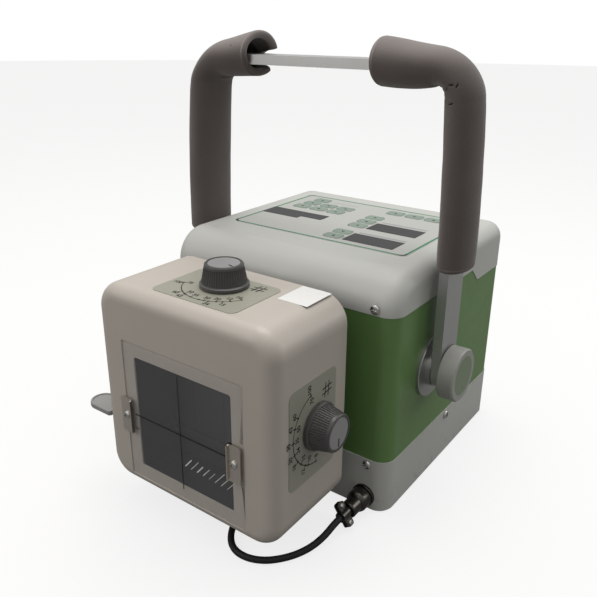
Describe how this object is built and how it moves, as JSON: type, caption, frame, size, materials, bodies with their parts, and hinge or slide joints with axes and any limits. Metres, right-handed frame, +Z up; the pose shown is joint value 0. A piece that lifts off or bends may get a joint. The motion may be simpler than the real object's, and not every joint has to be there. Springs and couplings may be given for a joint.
{
  "type": "portable x-ray generator",
  "caption": "Portable x-ray generator: boxy painted unit with keypad, flat carrying bow with foam grips, and a collimator on the front with clear window, shutters worked by knobs and lamp cable",
  "frame": {"origin": "the middle of the flat underside of the bottom tray, midway between the casing's side walls and midway between its front and rear walls", "axes": "+Z up, +X to the side of the side knob and the cable plug, +Y from the collimator towards the rear panel, so the collimator's window faces -Y"},
  "size_m": [0.294, 0.3502, 0.3768],
  "materials": {
    "cover_paint": "sheet with a satin powder coat, light warm grey",
    "casing_paint": "sheet with a satin enamel, leaf green",
    "collimator_paint": "casting with a satin enamel, warm beige",
    "panel_film": "printed polyester film over a sealed keypad",
    "display_window": "glossy smoked window",
    "black_rubber": "dull moulded rubber",
    "grip_foam": "closed cell foam sleeve",
    "satin_aluminium": "satin anodised",
    "bright_steel": "plated steel",
    "blackened_steel": "blackened sheet",
    "knob_plastic": "satin moulded plastic",
    "clamp_plastic": "satin moulded plastic",
    "green_inlay": "green label disc",
    "scale_film": "printed scale plate",
    "clear_plate": "clear polished acrylic",
    "silvered": "first surface mirror",
    "gear_brass": "machined brass",
    "tank_casting": "painted tank filled with insulating oil",
    "circuit_board": "solder masked board",
    "black_plastic": "moulded plastic",
    "dark_nickel": "dark nickel plate",
    "cable_jacket": "smooth cable jacket",
    "lever_plastic": "satin moulded plastic"
  },
  "bodies": {
    "generator": {"bottom_tray": "cover_paint", "rubber_feet": "black_rubber", "middle_casing": "casing_paint", "top_cover": "cover_paint", "cover_screws": "bright_steel", "panel_overlay": "panel_film", "legend_window": "display_window", "display_windows": "display_window", "control_board": "circuit_board", "chassis": "satin_aluminium", "hv_tank": "tank_casting", "inverter_board": "circuit_board", "mains_inlet": "black_plastic", "switch_frame": "black_plastic", "hand_switch_socket": "dark_nickel", "earth_stud": "bright_steel", "angle_disc_left": "satin_aluminium", "angle_disc_right": "satin_aluminium", "pivot_studs": "bright_steel", "collimator_flange": "satin_aluminium", "collimator_housing": "collimator_paint", "collimator_back": "collimator_paint", "window_plate": "clear_plate", "window_clips": "bright_steel", "collimator_screws": "bright_steel", "top_scale_plate": "scale_film", "side_scale_plate": "scale_film", "shaft_bushes": "gear_brass", "shutter_frame": "blackened_steel", "mirror": "silvered", "mirror_bracket": "satin_aluminium", "lamp_board": "circuit_board", "lever_bracket": "satin_aluminium", "lever_stop": "black_rubber", "lamp_socket": "dark_nickel", "cable_plug": "dark_nickel", "clamp_screws": "bright_steel", "lamp_cable": "cable_jacket", "cable_elbow": "black_rubber"},
    "handle": {"handle_bar": "satin_aluminium", "grip_left": "grip_foam", "grip_right": "grip_foam"},
    "clamp_knob_left": {"clamp_knob_left": "clamp_plastic", "clamp_inlay_left": "green_inlay"},
    "clamp_knob_right": {"clamp_knob_right": "clamp_plastic", "clamp_inlay_right": "green_inlay"},
    "coupling_ring": {"coupling_ring": "dark_nickel"},
    "top_knob": {"top_knob": "knob_plastic", "top_knob_cap": "knob_plastic", "top_pinion": "gear_brass"},
    "side_knob": {"side_knob": "knob_plastic", "side_knob_cap": "knob_plastic", "side_pinion": "gear_brass"},
    "shutter_left": {"shutter_left": "blackened_steel"},
    "shutter_right": {"shutter_right": "blackened_steel"},
    "shutter_upper": {"shutter_upper": "blackened_steel"},
    "shutter_lower": {"shutter_lower": "blackened_steel"},
    "lamp_lever": {"lamp_lever": "lever_plastic"},
    "power_rocker": {"power_rocker": "black_plastic"}
  },
  "joints": [
    {"name": "handle_pivot", "type": "hinge", "parent": "generator", "child": "handle", "pos_m": [0, -0.042, 0.114], "axis": [1, 0, 0], "range_deg": [-90, 90]},
    {"name": "clamp_knob_left_turn", "type": "hinge", "parent": "generator", "child": "clamp_knob_left", "pos_m": [-0.1397, -0.042, 0.114], "axis": [-1, 0, 0], "range_deg": [0, 270]},
    {"name": "clamp_knob_right_turn", "type": "hinge", "parent": "generator", "child": "clamp_knob_right", "pos_m": [0.1397, -0.042, 0.114], "axis": [1, 0, 0], "range_deg": [0, 270]},
    {"name": "coupling_ring_turn", "type": "hinge", "parent": "generator", "child": "coupling_ring", "pos_m": [0.0965, -0.119, 0.0135], "axis": [0, -1, 0], "range_deg": [0, 300]},
    {"name": "top_knob_turn", "type": "hinge", "parent": "generator", "child": "top_knob", "pos_m": [0.002, -0.172, 0.2], "axis": [0, 0, -1], "range_deg": [0, 229.2]},
    {"name": "side_knob_turn", "type": "hinge", "parent": "generator", "child": "side_knob", "pos_m": [0.089, -0.172, 0.111], "axis": [1, 0, 0], "range_deg": [0, 229.2]},
    {"name": "shutter_left_slide", "type": "slide", "parent": "generator", "child": "shutter_left", "axis": [-1, 0, 0], "range_m": [0, 0.032]},
    {"name": "shutter_right_slide", "type": "slide", "parent": "generator", "child": "shutter_right", "axis": [1, 0, 0], "range_m": [0, 0.032]},
    {"name": "shutter_upper_slide", "type": "slide", "parent": "generator", "child": "shutter_upper", "axis": [0, 0, 1], "range_m": [0, 0.032]},
    {"name": "shutter_lower_slide", "type": "slide", "parent": "generator", "child": "shutter_lower", "axis": [0, 0, -1], "range_m": [0, 0.032]},
    {"name": "lamp_lever_press", "type": "hinge", "parent": "generator", "child": "lamp_lever", "pos_m": [-0.081, -0.207, 0.076], "axis": [0, 1, 0], "range_deg": [-12, 0], "stiffness_Nm_per_rad": 0.3},
    {"name": "power_rocker_tip", "type": "hinge", "parent": "generator", "child": "power_rocker", "pos_m": [0.062, 0.1064, 0.1], "axis": [1, 0, 0], "range_deg": [0, 20]}
  ],
  "couplings": [
    {"joint": "top_knob_turn", "follows": "shutter_left_slide", "rad_per_m": 125},
    {"joint": "shutter_right_slide", "follows": "shutter_left_slide", "ratio": 1},
    {"joint": "side_knob_turn", "follows": "shutter_lower_slide", "rad_per_m": 125},
    {"joint": "shutter_upper_slide", "follows": "shutter_lower_slide", "ratio": 1}
  ]
}
